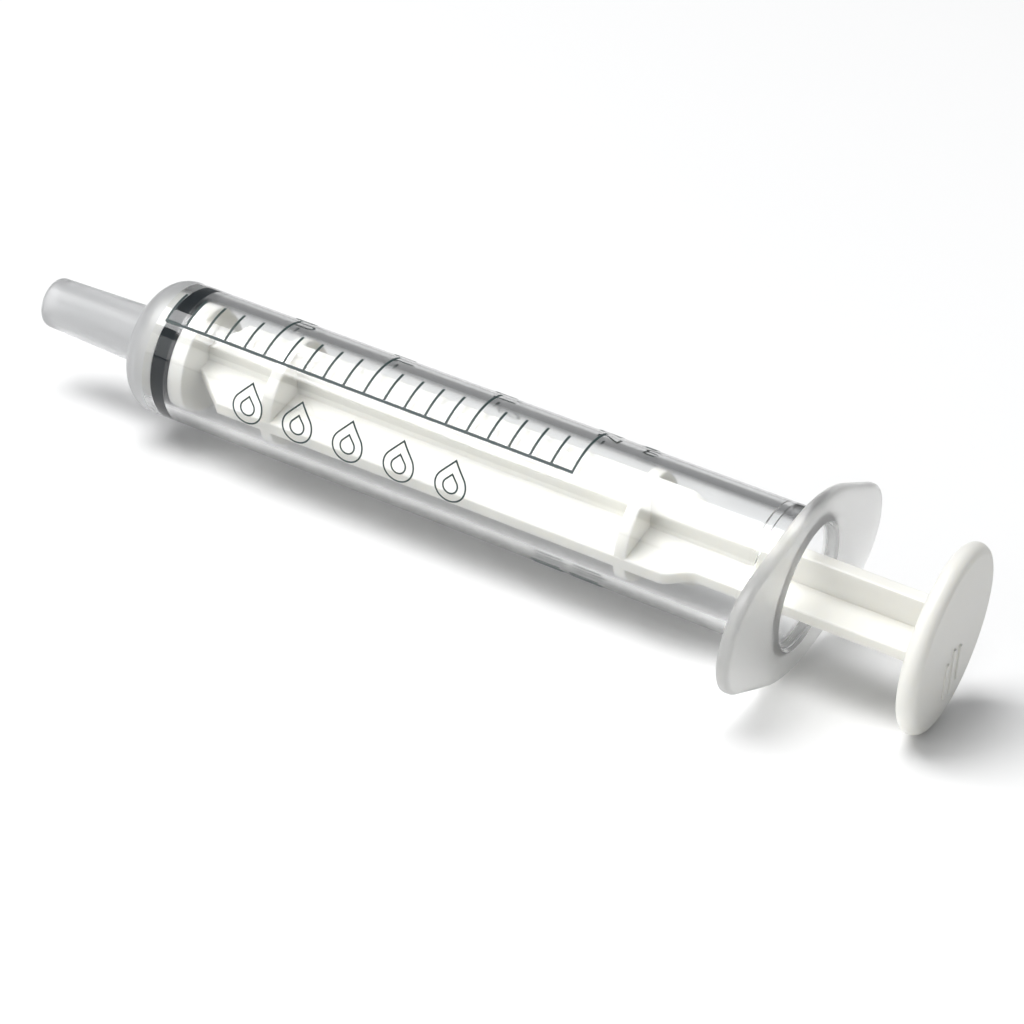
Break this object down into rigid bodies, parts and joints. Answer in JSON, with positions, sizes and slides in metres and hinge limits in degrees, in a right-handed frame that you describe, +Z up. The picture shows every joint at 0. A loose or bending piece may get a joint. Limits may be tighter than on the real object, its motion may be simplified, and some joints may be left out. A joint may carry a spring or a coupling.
{
  "type": "oral syringe",
  "caption": "Small clear syringe with a tapered slip nozzle, a two-finger flange, a cross-ribbed plunger with a round thumb rest, and a rubber seal ring.",
  "frame": {"origin": "centre of the nozzle's mouth, on the syringe's axis", "axes": "+X along the axis from the nozzle to the thumb rest, +Z up as the syringe lies on the flat of its flange with the scale on top, -Y towards the side with the drop marks"},
  "size_m": [0.0753, 0.0266, 0.0138],
  "materials": {
    "clear_plastic": "clear moulded polypropylene, smooth and slightly hazy",
    "white_plastic": "moulded, satin",
    "black_rubber": "smooth, lightly oiled",
    "ink": "printed ink, matt"
  },
  "bodies": {
    "barrel_body": {"barrel": "clear_plastic", "scale_lines": "ink", "scale_numerals": "ink", "drop_marks": "ink", "side_bars": "ink"},
    "seal_body": {"seal_ring": "black_rubber"},
    "plunger_body": {"plunger": "white_plastic"}
  },
  "joints": [
    {"name": "plunger_slide", "type": "slide", "parent": "barrel_body", "child": "seal_body", "axis": [1, 0, 0], "range_m": [0, 0.0471]},
    {"name": "plunger_turn", "type": "hinge", "parent": "seal_body", "child": "plunger_body", "pos_m": [0.01295, 0, 0], "axis": [1, 0, 0], "continuous": true}
  ]
}
